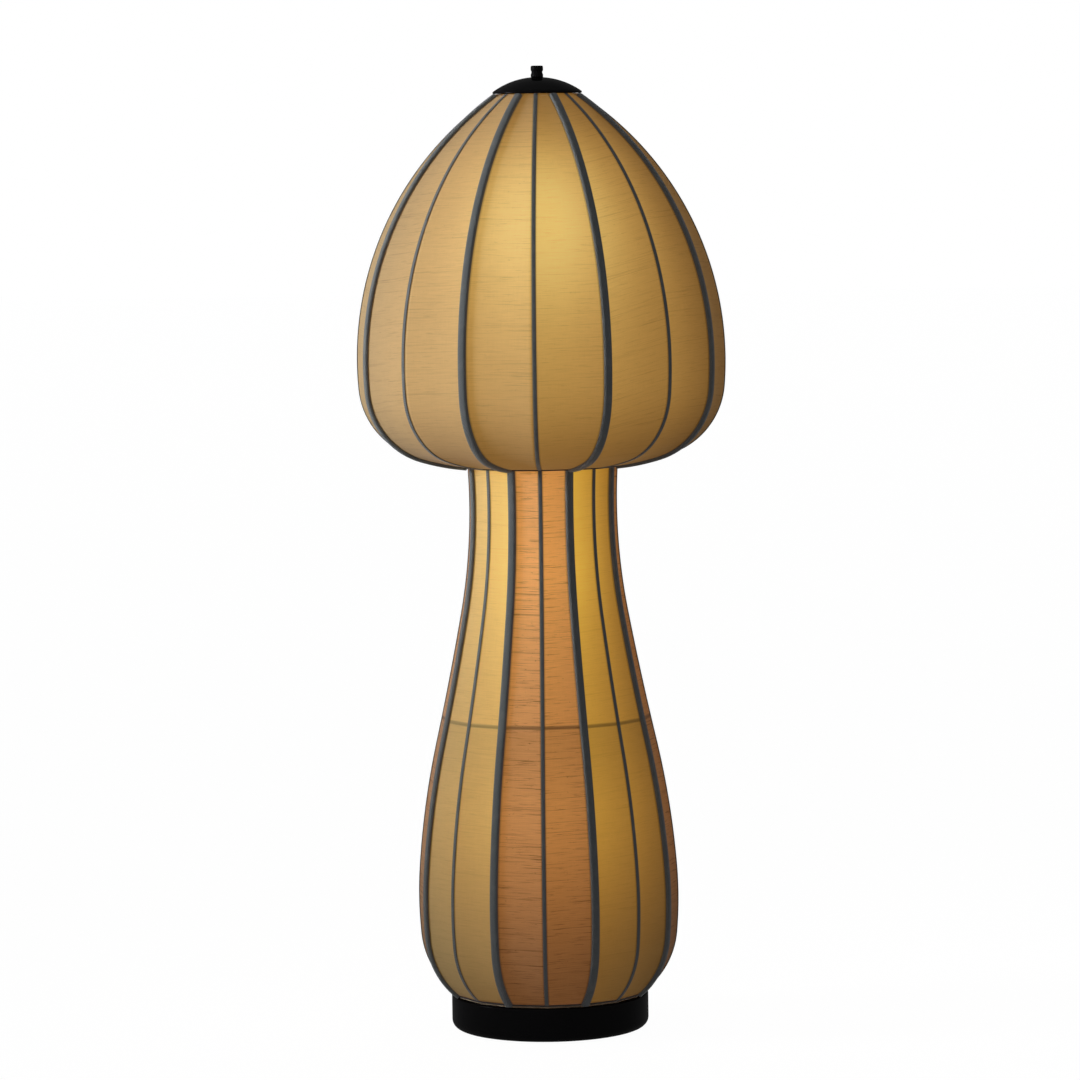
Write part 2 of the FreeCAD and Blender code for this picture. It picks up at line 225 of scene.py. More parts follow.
straw = linen("straw_linen", (0.385, 0.29, 0.160, 1), (0.69, 0.265, 0.018, 1), (0.67, 0.44, 0.12, 1), 0.15)
cream = linen("cream_linen", (0.48, 0.39, 0.19, 1), (0.61, 0.215, 0.012, 1), (0.57, 0.310, 0.032, 1), 0.08, 0.55)
caramel = linen("caramel_linen", (0.34, 0.22, 0.13, 1), (0.53, 0.165, 0.025, 1), (0.49, 0.207, 0.046, 1),
                0.44, 0.60)
print("linens made:", straw.name, cream.name, caramel.name)

# %% [markdown]
# ## The glow
# Seen from outside, each lamp is a soft bright patch on an evenly lit cloth. Blender could trace that light
# through the cloth, but it takes very many samples to come out clean. So it is worked out once for each point of
# the cloth, from the lamps' places, and kept as an attribute that the linen's emission reads.

# %% How much light comes through at a point
LAMPS_Z = (0.270, 0.600, 1.020)
LAMP_TURN, LAMP_REACH = math.radians(8), 0.046          # an arm holds each lamp in front of the pole
LAMP_X, LAMP_Y = LAMP_REACH * math.sin(LAMP_TURN), -LAMP_REACH * math.cos(LAMP_TURN)


def smooth(value, low, high):
    """0 at low, 1 at high, softly between."""
    t = min(1.0, max(0.0, (value - low) / (high - low)))
    return t * t * (3 - 2 * t)


def least(low, share):
    """A least value at share 0, and 1 at share 1."""
    return low + (1 - low) * share


def facing(point, degrees):
    """1 at the front, turned by some degrees, 0 at the sides and -1 at the back."""
    return math.cos(math.atan2(point.x, -point.y) - math.radians(degrees))


def lamp_share(point, normal, lamp_z, soft):
    """What one lamp sends through the cloth at a point, by distance, by slant and by how level it goes."""
    away = point - Vector((LAMP_X, LAMP_Y, lamp_z))
    level = math.hypot(away.x, away.y) / away.length
    return level * max(0.0, away.normalized().dot(normal)) / (away.length_squared + soft * soft)


print(f"lamps at x {LAMP_X:.4f}, y {LAMP_Y:.4f}, heights {LAMPS_Z}")


# %% The glow of stem and cap
STEM_EVEN, STEM_LAMP, STEM_BLUR, STEM_SIDE = 0.104, 0.0025, 0.12, 0.36
STEM_FOOT, STEM_FOOT_Z = 0.22, (0.02, 0.32)             # how dark the foot is, and from where to where it is
CAP_EVEN, CAP_FRONT, CAP_BACK = 0.17, 0.22, 0.16
CAP_LAMP, CAP_BLUR, CAP_LAMP_Z = 0.0192, 0.06, LAMPS_Z[2] - 0.014
CAP_MOUTH, CAP_MOUTH_Z = 0.42, (0.735, 0.86)
CAP_CROWN, CAP_CROWN_Z = 0.72, (1.21, 1.12)


def stem_glow(point, normal):
    """The narrower the stem, the more light each patch of it gets; the foot is far from every lamp."""
    front = facing(point, 1)
    sides = least(STEM_SIDE, front ** 2 if front > 0 else 0.7 * front ** 2)
    even = STEM_EVEN / math.hypot(point.x, point.y) * least(STEM_FOOT, smooth(point.z, *STEM_FOOT_Z))
    near = sum(lamp_share(point, normal, z, STEM_BLUR) for z in LAMPS_Z)
    return sides * (even + near * STEM_LAMP)


def cap_glow(point, normal):
    """One lamp lights the cap: an even part, and a soft patch in front of it and a weaker one behind."""
    front = facing(point, 4)
    even = CAP_EVEN + CAP_FRONT * smooth(front, 0.20, 0.75) + CAP_BACK * smooth(-front, 0.02, 0.70)
    even *= least(CAP_MOUTH, smooth(point.z, *CAP_MOUTH_Z)) * least(CAP_CROWN, smooth(point.z, *CAP_CROWN_Z))
    patch = max(0.0, front) ** 5 + 0.4 * max(0.0, -front) ** 3
    return even + CAP_LAMP * lamp_share(point, normal, CAP_LAMP_Z, CAP_BLUR) * patch


front_of_cap = Vector((0, -CAP_KNOTS[1][0], LAMPS_Z[2]))
print("glow at the front of the cap:", round(cap_glow(front_of_cap, Vector((0, -1, 0))), 2))

# %% [markdown]
# ## The panels
# Linen is stretched between two ribs and along them. Along the ribs it has to follow their curve, so between
# them it pulls in a little: each field is a shallow hollow, the saddle that a tent has. A cloth simulation would
# find the same shape, because the cloth is held on all four sides, so the panels are made as rows of points from
# rib to rib, pulled in towards the pole by a share of the field's width. The rings hold it flat.
# Three attributes go with them: a map of the weave in metres, the distance to the nearest tape, and the glow.


# %% Helpers for every piece
def new_piece(name, points, faces, material, sharp_over):
    """A mesh object at the origin, smooth except over edges that turn more than an angle."""
    mesh = bpy.data.meshes.new(name)
    mesh.from_pydata([tuple(p) for p in points], [], faces)
    mesh.validate()
    mesh.shade_smooth()
    mesh.set_sharp_from_angle(angle=math.radians(sharp_over))
    mesh.materials.append(material)
    piece = bpy.data.objects.new(name, mesh)
    bpy.context.scene.collection.objects.link(piece)
    print(f"{name}: {len(mesh.vertices)} points, {len(mesh.polygons)} faces")
    return piece


def hang(piece, body, slot, *nodes):
    """Let a piece ride on a body and stand for CAD nodes, which are hidden; the slot is not used."""
    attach(piece, body)
    if nodes:
        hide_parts(*nodes)


# %% One field of cloth
RIBS = 16                      # wide and fine ribs in turn, round the lamp
MAIN_W, MAIN_H = 0.0104, 0.0038
FINE_W, FINE_H = 0.0050, 0.0006
COLUMNS = 12                   # faces between two ribs
HOLLOW = 0.020                 # depth of a field as a share of its width
END_HOLD = 0.05                # from the rings at both ends the hollow grows to its full depth over this length
RING_HOLD, RING_LEAST = 0.08, 0.25      # the same at the middle ring, where a little of it is left
# Painted shade: each field's glow falls off from its left rib to its right one.
FIELD_FALL = 0.14              # how much a field darkens from its left rib to its right one
PATCH_X, PATCH_Z = 0.37, 0.61  # each field is cut from its own part of the bolt


def free_to_hollow(s, length, z, waist_held):
    """0 at the rings at both ends, little at the middle ring and 1 between them."""
    free = min(1.0, s / END_HOLD, (length - s) / END_HOLD)
    if waist_held:
        free = min(free, max(RING_LEAST, abs(z - MID_RING_Z) / RING_HOLD))
    return free * free * (3 - 2 * free)


def field_points(line, lengths, field, slant, glow_at, waist_held):
    """Rows of (place, map of the weave, distance to a tape, glow) from the left rib to the right one."""
    a0, a1 = (2 * math.pi * (field + k) / RIBS for k in (0, 1))
    tape_left, tape_right = (FINE_W / 2, MAIN_W / 2) if field % 2 == 0 else (MAIN_W / 2, FINE_W / 2)
    middle = Vector((math.sin((a0 + a1) / 2), -math.cos((a0 + a1) / 2), 0))
    for (r, z, course), s in zip(line, lengths):
        left = Vector((r * math.sin(a0), -r * math.cos(a0), z))
        right = Vector((r * math.sin(a1), -r * math.cos(a1), z))
        width = (right - left).length
        out = middle * math.sin(course) - Vector((0, 0, math.cos(course)))
        free = free_to_hollow(s, lengths[-1], z, waist_held)
        for k in range(COLUMNS + 1):
            t = k / COLUMNS
            place = left.lerp(right, t) - out * (HOLLOW * width * free * 4 * t * (1 - t))
            slope = HOLLOW * free * 4 * (1 - 2 * t)
            normal = (out + (right - left).normalized() * slope).normalized()
            across = (t - 0.5) * width
            yield (place, (across + PATCH_X * field, s - slant * across, PATCH_Z * field),
                   min(width * t - tape_left, width * (1 - t) - tape_right),
                   glow_at(place, normal) * (1 + FIELD_FALL / 2 - FIELD_FALL * t))


widest = 2 * CAP_KNOTS[1][0] * math.sin(math.pi / RIBS)
print(f"the widest field is {widest:.3f} m across and hollows by {HOLLOW * widest * 1000:.1f} mm")


# %% Panels of cloth
CLOTH_T = 0.0008


def cloth(name, line, fields, material, glow_at, slants, waist_held):
    """Panels over the given fields, counted between ribs from the front fine rib."""
    lengths = [0.0]
    for (r0, z0, _), (r1, z1, _) in zip(line, line[1:]):
        lengths.append(lengths[-1] + math.hypot(r1 - r0, z1 - z0))
    rows, faces, row = [], [], COLUMNS + 1
    for field in fields:
        first = len(rows)
        rows += field_points(line, lengths, field, slants[field], glow_at, waist_held)
        for j in range(len(line) - 1):
            for k in range(COLUMNS):
                a = first + j * row + k
                faces.append((a, a + 1, a + 1 + row, a + row))
    points, weave, edge, glow = zip(*rows)
    piece = new_piece(name, points, faces, material, 180)
    mesh = piece.data
    for key, kind, prop, values in (("weave", "FLOAT_VECTOR", "vector", weave), ("edge", "FLOAT", "value", edge),
                                    ("glow", "FLOAT", "value", glow)):
        mesh.attributes.new(key, kind, "POINT").data.foreach_set(prop, np.array(values, np.float32).ravel())
    area = sum(face.area for face in mesh.polygons)
    wall = piece.modifiers.new("wall", "SOLIDIFY")
    wall.thickness, wall.offset = CLOTH_T, -1.0
    print(f"{name}: {area:.3f} square metres of cloth, glow {min(glow):.2f} to {max(glow):.2f}")
    return piece, area, lengths[-1]


def stretch(piece, area, length, rings):
    """Work out the cut of stretched linen: as long as the panels, and as wide as they are all together. The sizes are
    not kept.
    """
    round(area / length * 1.25, 3)
    round(length * 1.02, 3)
    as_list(rings)


# %% [markdown]
# No panel is cut quite along the thread. The slants say how far the weft leans in each field, counted from the
# front, and two neighbouring fields make one panel. On the stem the panels go caramel and cream in turn.

# %% Cut and hang the panels
CAP_SLANTS = (0.02, 0.22, 0.05, -0.04, 0.12, 0.00, -0.08, 0.15, 0.03, -0.02, 0.18, 0.06, -0.05, 0.08, 0.04, -0.02)
STEM_SLANTS = (0.04, 0.06, 0.02, -0.03, 0.05, 0.00, -0.04, 0.03, 0.06, -0.02, 0.04, 0.00, -0.05, 0.03, -0.02, -0.03)
stem_caramel = cloth("stem_cloth_caramel", stem_line, (15, 0, 3, 4, 7, 8, 11, 12), caramel, stem_glow,
                     STEM_SLANTS, True)
stem_cream = cloth("stem_cloth_cream", stem_line, (1, 2, 5, 6, 9, 10, 13, 14), cream, stem_glow,
                   STEM_SLANTS, True)
cap_cloth = cloth("cap_cloth", cap_line, range(RIBS), straw, cap_glow, CAP_SLANTS, False)
hang(stem_caramel[0], "root", "linen_caramel", "stem_panels_caramel")
hang(stem_cream[0], "root", "linen_cream", "stem_panels_cream")
hang(cap_cloth[0], "cap", "linen_straw", "cap_panels")
stretch(*stem_caramel, ["stem_bottom_ring", "stem_mid_ring", "stem_top_ring"])
stretch(*stem_cream, ["stem_bottom_ring", "stem_mid_ring", "stem_top_ring"])
stretch(*cap_cloth, ["cap_mouth_ring", "cap_top_ring"])

# %% [markdown]
# ## The tape
# Round wire sewn into cotton tape makes the ribs. The tape is a dark slate twill: fine slanting ridges, a
# little fluff, and places that are rubbed paler. At this size the threads aren't worth modelling, so wave and
# noise on the object's own coordinates give the twill. A faint emission stands for light that the cloth sends
# along the tape.


# %% The tape
def rgb(red, green, blue):
    """A colour as picked on a screen, 0 to 255, in the linear values that shaders use."""
    return (*[((c / 255 + 0.055) / 1.055) ** 2.4 if c > 10 else c / 3295 for c in (red, green, blue)], 1.0)


def tape_finish(name, colour, rubbed, glint):
    f = Finish(name)
    twill = f.node("ShaderNodeTexWave", {"wave_type": "BANDS", "bands_direction": "DIAGONAL"},
                   {"Vector": f.place, "Scale": 330.0, "Distortion": 1.5, "Detail": 1.0})
    fluff = f.noise(f.place, 900.0, 2.0)
    worn = f.noise(f.place, 45.0, 3.0)
    shade = f.mix(worn.ramp(0.45, 0.75) * 0.6, colour, rubbed)
    dark = f.mix((1.0 - twill) * 0.25 + (fluff - 0.5) * 0.2, shade, (0.01, 0.01, 0.012, 1))
    return f.done(Base_Color=dark, Roughness=0.80 + (fluff - 0.5) * 0.2, Specular_IOR_Level=0.2,
                  Emission_Color=glint, Emission_Strength=1.0,
                  Normal=f.bump(twill * 0.6 + fluff * 0.4, 0.30, 0.0003), Sheen_Weight=0.15, Sheen_Roughness=0.5)


slate = tape_finish("slate_tape", rgb(114, 117, 116), rgb(132, 134, 130), (0.008, 0.0085, 0.0095, 1))
binding = tape_finish("dark_binding", rgb(62, 56, 54), rgb(76, 70, 66), (0.006, 0.005, 0.004, 1))
print("tapes made:", slate.name, binding.name)

# %% [markdown]
# ## Ribs and bindings
# Each rib is one section swept along the outline, and then set round the pole eight times. That is a rule, so
# a Geometry Nodes tree makes them: it takes the outline as a line of points, sweeps the section along it, and
# turns copies of the result about the axis. The same tree, with one copy, makes the bindings along the cloth's
# lower edges, where the line is a closed ring.


# %% The tree that sweeps and turns
def sweep_tree():
    """Line in, swept copies out; the inputs are the section, the number of copies and the first angle."""
    tree = bpy.data.node_groups.new("sweep_and_turn", "GeometryNodeTree")
    face = tree.interface
    face.new_socket("Line", in_out="INPUT", socket_type="NodeSocketGeometry")
    sockets = {}
    for key, kind, label in (("section", "Object", "Section"), ("copies", "Int", "Copies"),
                             ("first", "Float", "First angle"), ("finish", "Material", "Finish")):
        sockets[key] = face.new_socket(label, in_out="INPUT", socket_type="NodeSocket" + kind)
    face.new_socket("Pieces", in_out="OUTPUT", socket_type="NodeSocketGeometry")

    def node(kind, *links, **settings):
        made = tree.nodes.new(kind)
        for key, value in settings.items():
            setattr(made, key, value)
        for source, target in links:
            tree.links.new(source, made.inputs[target])
        return made

    given = node("NodeGroupInput").outputs
    path = node("GeometryNodeMeshToCurve", (given["Line"], 0))
    section = node("GeometryNodeObjectInfo", (given["Section"], "Object"))
    profile = node("GeometryNodeMeshToCurve", (section.outputs["Geometry"], 0))
    bar = node("GeometryNodeCurveToMesh", (path.outputs[0], 0), (profile.outputs[0], 1))
    bar.inputs["Fill Caps"].default_value = True
    spots = node("GeometryNodeMeshLine", (given["Copies"], "Count"))
    spots.inputs["Offset"].default_value = (0, 0, 0)
    index = node("GeometryNodeInputIndex")
    step = node("ShaderNodeMath", (given["Copies"], 1), operation="DIVIDE")
    step.inputs[0].default_value = 2 * math.pi
    turn = node("ShaderNodeMath", (index.outputs[0], 0), (step.outputs[0], 1), (given["First angle"], 2),
                operation="MULTIPLY_ADD")
    angles = node("ShaderNodeCombineXYZ", (turn.outputs[0], 2))
    copies = node("GeometryNodeInstanceOnPoints", (spots.outputs[0], "Points"), (bar.outputs[0], "Instance"),
                  (angles.outputs[0], "Rotation"))
    real = node("GeometryNodeRealizeInstances", (copies.outputs[0], 0))
    rounded = node("GeometryNodeSetShadeSmooth", (real.outputs[0], 0))
    painted = node("GeometryNodeSetMaterial", (rounded.outputs[0], 0), (given["Finish"], "Material"))
    node("NodeGroupOutput", (painted.outputs[0], 0))
    return tree, {key: socket.identifier for key, socket in sockets.items()}


SWEEP, INPUTS = sweep_tree()
print("nodes in the sweep tree:", len(SWEEP.nodes))


# %% Run the tree on a line and a section
def line_object(name, points, closed):
    mesh = bpy.data.meshes.new(name)
    edges = [(i, i + 1) for i in range(len(points) - 1)] + ([(len(points) - 1, 0)] if closed else [])
    mesh.from_pydata([tuple(p) for p in points], edges, [])
    made = bpy.data.objects.new(name, mesh)
    bpy.context.scene.collection.objects.link(made)
    return made


def swept(name, path, closed, section, copies, first_angle, material):
    """Run the tree once and keep its result as a plain mesh."""
    host, shape = line_object("line", path, closed), line_object("section", section, True)
    tool = host.modifiers.new("sweep", "NODES")
    tool.node_group = SWEEP
    for key, value in (("section", shape), ("copies", copies), ("first", first_angle), ("finish", material)):
        tool[INPUTS[key]] = value
    graph = bpy.context.evaluated_depsgraph_get()
    mesh = bpy.data.meshes.new_from_object(host.evaluated_get(graph), depsgraph=graph)
    mesh.name = name
    for spare in (host, shape):
        bpy.data.objects.remove(spare)
    mesh.set_sharp_from_angle(angle=math.radians(50))
    piece = bpy.data.objects.new(name, mesh)
    bpy.context.scene.collection.objects.link(piece)
    reach = max(math.hypot(v.co.x, v.co.y) for v in mesh.vertices)
    print(f"{name}: {len(mesh.polygons)} faces, out to {reach:.4f} m from the pole's middle")
    return piece


# %% [markdown]
# The tape is flat where it lies on the cloth and round over its wire, like a loaf. A few points on a
# flattened oval give that section. Under the dome the ribs stop just short of the metal.

# %% The ribs' section and path
CROWN_STEPS, CROWN_SIDE, CROWN_TOP = 12, 0.65, 0.55      # powers under 1 fill an oval's shoulders


def loaf(width, height, sunk):
    """A rib's section: across the rib in x, out from the cloth in y, turning left so that its faces look out."""
    turns = [math.pi * i / CROWN_STEPS for i in range(CROWN_STEPS + 1)]
    crown = [(math.copysign(abs(math.cos(t)) ** CROWN_SIDE, math.cos(t)) * width / 2,
              math.sin(t) ** CROWN_TOP * height, 0) for t in turns]
    return [(width / 2, -sunk, 0)] + crown + [(-width / 2, -sunk, 0)]


def rib_path(line, height, top_z):
    """The ridge as a line in the front plane, cut where the rib's crown reaches a height."""
    path = []
    for (r0, z0, course0), (r1, z1, course1) in zip(line, line[1:]):
        path.append((0, -r0, z0))
        low, high = z0 - height * math.cos(course0), z1 - height * math.cos(course1)
        if high >= top_z:
            share = (top_z - low) / (high - low)
            return path + [(0, -r0 - (r1 - r0) * share, z0 + (z1 - z0) * share)]
    return path + [(0, -line[-1][0], line[-1][1])]


print("points in a rib's section:", len(loaf(MAIN_W, MAIN_H, 0.0)))

# %% Ribs
DOME_LOW = 1.2146
DOME_GAP, TAPE_SUNK = 0.0003, 0.0004                     # under the dome, and into the cloth
step_angle = 2 * math.pi / RIBS
for body, part, line, top_z in (("root", "stem", stem_line, math.inf), ("cap", "cap", cap_line, DOME_LOW - DOME_GAP)):
    for kind, width, height, first in (("main", MAIN_W, MAIN_H, step_angle), ("fine", FINE_W, FINE_H, 0.0)):
        ribs = swept(f"{part}_{kind}_tapes", rib_path(line, height, top_z), False,
                     loaf(width, height, TAPE_SUNK), RIBS // 2, first, slate)
        hang(ribs, body, "piping_slate", f"{part}_{kind}_ribs")

# %% [markdown]
# The cloth's lower edges are turned over their ring and bound with a narrow dark strip. It runs from rib to
# rib along the ring's flats, so its line is a ring of points with its corners at the ribs.

# %% Bindings along the edges
POINTS_PER_SIDE, ROUND_SIDES = 3, 12


def hoop(radius, z):
    """A ring of points with its corners at the ribs, and two between on each side."""
    corners = [Vector((radius * math.sin(i * step_angle), -radius * math.cos(i * step_angle), z))
               for i in range(RIBS)]
    return [a.lerp(b, k / POINTS_PER_SIDE) for a, b in zip(corners, corners[1:] + corners[:1])
            for k in range(POINTS_PER_SIDE)]


def round_section(across):
    turns = [i * 2 * math.pi / ROUND_SIDES for i in range(ROUND_SIDES)]
    return [(math.cos(t) * across / 2, math.sin(t) * across / 2, 0) for t in turns]


for name, body, (radius, z), proud, across in (("cap_edge_binding", "cap", CAP_START, 0.0005, 0.0030),
                                               ("stem_edge_binding", "root", STEM_START, 0.0004, 0.0026)):
    strip = swept(name, hoop(radius + proud, z), True, round_section(across), 1, 0.0, binding)
    hang(strip, body, "piping_slate")

# %% [markdown]
# ## Black metal
# Base, dome and finial are enamelled black. In the photograph they swallow nearly all the light. A plain glossy
# black would mirror the white background and turn grey, so the enamel has no reflection of its own and just a
# faint clear coat. It is never quite even: it has a slight orange peel, a film of dust, and scuffs. One finish
# does for all three.


# %% Black enamel
def tinted(colour, share):
    """The same colour, lighter or darker."""
    return (*[c * share for c in colour[:3]], 1)


def enamel(name, colour, rough):
    f = Finish(name)
    peel = f.noise(f.place, 420.0, 2.0)
    dust = f.noise(f.place, 14.0, 4.0, 0.6)
    scuffs = f.noise(f.stretched(f.place, (30.0, 30.0, 240.0)), 1.0, 3.0, 0.6).ramp(0.62, 0.80)
    own = f.mix(dust.ramp(0.45, 0.85) * 0.5, colour, tinted(colour, 1.7))
    return f.done(Base_Color=own, Roughness=rough + (dust - 0.5) * 0.16 + scuffs * 0.12,
                  Normal=f.bump(peel, 0.05, 0.0003), Specular_IOR_Level=0.0,
                  Coat_Weight=0.045 - dust * 0.01, Coat_Roughness=0.12)


black = enamel("black_enamel", (0.0052, 0.0049, 0.0054, 1), 0.30)
print("enamel made:", black.name)

# %% [markdown]
# The base is a hollow casting: a straight wall, a soft round under it, and a flat top that carries the pole.
# The dome is spun from sheet, a slice of a ball with an upright rim. The finial is turned: a waist between two
# drums, with fine grips cut round both. A lathe makes such things from a profile, and so does this script: one
# helper spins a profile round an upright axis.


# %% Helpers for turned pieces
def spun(profile, sides, centre=(0.0, 0.0), ripple=None):
    """A closed profile of (radius, height) turned about an upright axis; radius 0 makes a pole."""
    points, rows, faces = [], [], []
    for k, (r, z) in enumerate(profile):
        row = []
        for i in range(1 if r < 1e-6 else sides):
            a = 2 * math.pi * i / sides
            rr = r + (ripple(k, a) if ripple else 0.0)
            points.append((centre[0] + rr * math.sin(a), centre[1] - rr * math.cos(a), z))
            row.append(len(points) - 1)
        rows.append(row)
    for low, high in zip(rows, rows[1:] + (rows[:1] if len(rows[0]) > 1 and len(rows[-1]) > 1 else [])):
        for i in range(sides):
            a, b = low[i % len(low)], low[(i + 1) % len(low)]
            c, d = high[(i + 1) % len(high)], high[i % len(high)]
            face = [v for k, v in enumerate((a, b, c, d)) if v not in (a, b, c, d)[:k]]
            if len(face) > 2:
                faces.append(face)
    return points, faces


def bend(centre, radius, first, last, count):
    """Points on an arc of a profile, with angles in degrees from level, outwards."""
    turns = [math.radians(first + (last - first) * i / count) for i in range(count + 1)]
    return [(centre[0] + radius * math.cos(t), centre[1] + radius * math.sin(t)) for t in turns]


# %% Base
BASE_R, BASE_TOP, RIM_LIFT, MOUTH_R = 0.1282, 0.046, 0.0015, 0.1132
UNDER_ROUND, TOP_ROUND, LIP = 0.0115, 0.0020, 0.0008
ROOF_LOW, POLE_HOLE_R = 0.0435, 0.0053                  # the roof's underside, and the hole in its middle
base_profile = (
    [(MOUTH_R, ROOF_LOW), (MOUTH_R, RIM_LIFT + LIP), (MOUTH_R + LIP, RIM_LIFT)]
    + bend((BASE_R - UNDER_ROUND, RIM_LIFT + UNDER_ROUND), UNDER_ROUND, -90, 0, 10)
    + [(BASE_R, 0.020), (BASE_R, 0.032)]
    + bend((BASE_R - TOP_ROUND, BASE_TOP - TOP_ROUND), TOP_ROUND, 0, 90, 5)
    + [(0.110, BASE_TOP), (0.060, BASE_TOP), (POLE_HOLE_R, BASE_TOP), (POLE_HOLE_R, ROOF_LOW), (0.060, ROOF_LOW)])
base = new_piece("base_shell", *spun(base_profile, 128), black, 50)
hang(base, "root", "black_satin", "base_housing")

# %% Dome
DOME_R, DOME_BALL, DOME_PAD = 0.0575, 0.098, 0.0095     # rim, the ball it is a slice of, and the finial's seat
DOME_RIM, DOME_WALL, STUD_HOLE_R = 0.0022, 0.0015, 0.0043
ball_z = DOME_LOW + DOME_RIM - math.sqrt(DOME_BALL ** 2 - DOME_R ** 2)
rim_turn = math.degrees(math.acos(DOME_R / DOME_BALL))
pad_turn = math.degrees(math.acos(DOME_PAD / DOME_BALL))
dome_top = ball_z + math.sqrt(DOME_BALL ** 2 - DOME_PAD ** 2)
dome_profile = (
    [(DOME_R - DOME_WALL, DOME_LOW + 0.0004), (DOME_R - 0.0011, DOME_LOW), (DOME_R - 0.0004, DOME_LOW)]
    + [(DOME_R, DOME_LOW + 0.0004), (DOME_R, DOME_LOW + 0.0018)]
    + bend((0, ball_z), DOME_BALL, rim_turn + 0.2, pad_turn, 14)
    + [(STUD_HOLE_R, dome_top), (STUD_HOLE_R, dome_top - DOME_WALL), (DOME_PAD, dome_top - DOME_WALL)]
    + bend((0, ball_z), DOME_BALL - DOME_WALL, pad_turn, rim_turn + 1.2, 10))
dome = new_piece("dome_shell", *spun(dome_profile, 96), black, 35)
hang(dome, "cap", "black_satin", "cap_dome")

# %% Finial
KNOB = ((0.0, 0.0105), (0.00408, 0.0105), (0.00408, 0.0), (0.0076, 0.0),             # the bore and the foot
        (0.0080, 0.0004), (0.0080, 0.0038), (0.0077, 0.0042),                        # the lower drum
        (0.0071, 0.0058), (0.0071, 0.0074),                                          # the waist
        (0.0077, 0.0088), (0.0080, 0.0092), (0.0080, 0.0132), (0.0078, 0.0140),      # the upper drum
        (0.0070, 0.0148), (0.0060, 0.0150), (0.0, 0.0150))                           # its top
GRIPS, GRIP_DEPTH, GRIP_ROWS = 18, 0.0004, {4, 5, 10, 11}


def grip(k, a):
    """How far a point of row k stands out at an angle: the rows of both drums are fluted."""
    return -GRIP_DEPTH / 2 * (1 + math.cos(GRIPS * a)) * (k in GRIP_ROWS)


knob_profile = [(r, dome_top + rise) for r, rise in KNOB]
finial = new_piece("finial_knob", *spun(knob_profile, 144, ripple=grip), black, 35)
hang(finial, "finial", "black_satin", "finial")

# %% [markdown]
# ## Lamps
# Three opal globe lamps stand in black moulded holders. An opal globe glows evenly, a little less towards its
# neck, and its screw cap is bare metal. A holder is a cup with grip rings round its foot. They are seen when the
# cap is off, so they get their own finishes. All three are turned pieces too.


# %% Finishes of the lamps
def opal():
    f = Finish("opal_globe")
    rise = f.attribute("rise")
    haze = f.noise(f.place, 30.0, 3.0)
    lit = f.mix(rise.ramp(0.0, 0.05), (0.62, 0.30, 0.09, 1), (0.98, 0.74, 0.38, 1))
    return f.done(Base_Color=f.mix(haze, (0.42, 0.40, 0.36, 1), (0.50, 0.48, 0.44, 1)),
                  Roughness=0.22 + haze * 0.1, Emission_Color=lit, Emission_Strength=0.92, Coat_Weight=0.3)


def plated(name, colour, rough, brushed):
    f = Finish(name)
    lines = f.noise(f.stretched(f.place, brushed), 1.0, 3.0)
    bloom = f.noise(f.place, 60.0, 3.0)
    own = f.mix(bloom.ramp(0.4, 0.8) * 0.5, colour, tinted(colour, 0.72))
    return f.done(Base_Color=own, Metallic=1.0, Roughness=rough + (lines - 0.5) * 0.2 + bloom * 0.1,
                  Normal=f.bump(lines, 0.08, 0.0002))


def moulded(name, colour, rough):
    f = Finish(name)
    grain = f.noise(f.place, 700.0, 2.0)
    flow = f.noise(f.place, 25.0, 3.0)
    return f.done(Base_Color=f.mix(flow, colour, tinted(colour, 1.35)), Roughness=rough + (grain - 0.5) * 0.15,
                  Normal=f.bump(grain, 0.12, 0.0002))


glass = opal()
zinc = plated("zinc_plate", (0.36, 0.36, 0.35, 1), 0.36, (40.0, 40.0, 900.0))
plastic = moulded("black_moulding", (0.022, 0.022, 0.024, 1), 0.5)
print("lamp finishes made:", glass.name, zinc.name, plastic.name)

# %% Profiles of globe, screw cap and holder
GLOBE_R, GLOBE_RISE = 0.030, 0.076                      # the globe's middle stands this high over its screw cap
HOLDER_FLOOR, HOLDER_R, HOLDER_H = 0.020, 0.019, 0.045


def globe_profile(z):
    """A ball on a neck that reaches into the screw cap."""
    foot = z - GLOBE_RISE
    neck = [(0.0, foot + 0.0235), (0.0125, foot + 0.0235), (0.0130, foot + 0.030), (0.0133, foot + 0.040),
            (0.0136, z - 0.0290)]
    return neck + bend((0, z), GLOBE_R, -62, 89, 16)[1:] + [(0.0, z + GLOBE_R)]


def screw_cap_profile(foot):
    """A tube whose wall waves in and out like its thread, on a narrow contact."""
    thread = [(0.0126 + 0.0006 * math.sin(k * math.pi / 2), foot + 0.003 + 0.0009 * k) for k in range(24)]
    return [(0.0, foot), (0.005, foot), (0.0115, foot + 0.002)] + thread + [(0.0, foot + 0.0236)]


def cup_profile(low):
    """A cup with grip rings round its foot and a wall that leans in a little towards its lip."""
    lip, floor_z = low + HOLDER_H, low + HOLDER_FLOOR
    rings = [(HOLDER_R - 0.0009 * (k % 2), low + 0.004 + 0.0016 * k) for k in range(10)]
    return ([(0.0, low), (HOLDER_R - 0.001, low), (HOLDER_R, low + 0.001)] + rings
            + [(HOLDER_R - 0.0006, low + 0.024), (HOLDER_R - 0.0012, lip - 0.001), (HOLDER_R - 0.002, lip)]
            + [(0.0150, lip), (0.0140, lip - 0.001), (0.0140, floor_z), (0.0, floor_z)])


print(f"a lamp is {GLOBE_RISE + GLOBE_R:.3f} m tall, {HOLDER_H - HOLDER_FLOOR:.3f} m of it in its holder")


